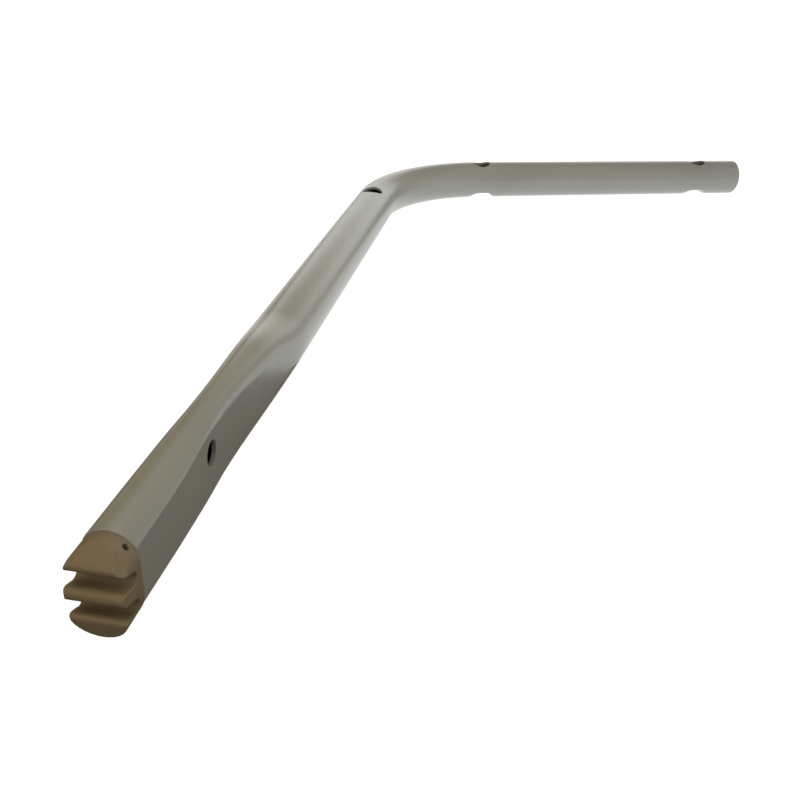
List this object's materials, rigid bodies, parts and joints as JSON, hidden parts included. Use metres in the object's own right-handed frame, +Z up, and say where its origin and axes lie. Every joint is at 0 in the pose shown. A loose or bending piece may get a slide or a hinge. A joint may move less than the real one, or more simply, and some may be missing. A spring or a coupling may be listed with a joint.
{
  "type": "lower handlebar",
  "caption": "Bent steel tube for the lower handle of a garden machine, pressed flat and cross-drilled at one end, with pressed seats under its top holes and a slotted end plug",
  "frame": {"origin": "middle of the hole across the pressed flats of the leg", "axes": "+Y along the leg from the plugged end toward the bend, +X to the side that the arm turns to, +Z up through the holes in the top, away from the pressed seats"},
  "size_m": [0.2755, 0.5773, 0.0314],
  "materials": {
    "tube_paint": "satin grey paint",
    "plug_plastic": "matte moulded plastic"
  },
  "bodies": {
    "root": {"tube": "tube_paint", "end_plug": "plug_plastic"}
  },
  "joints": []
}
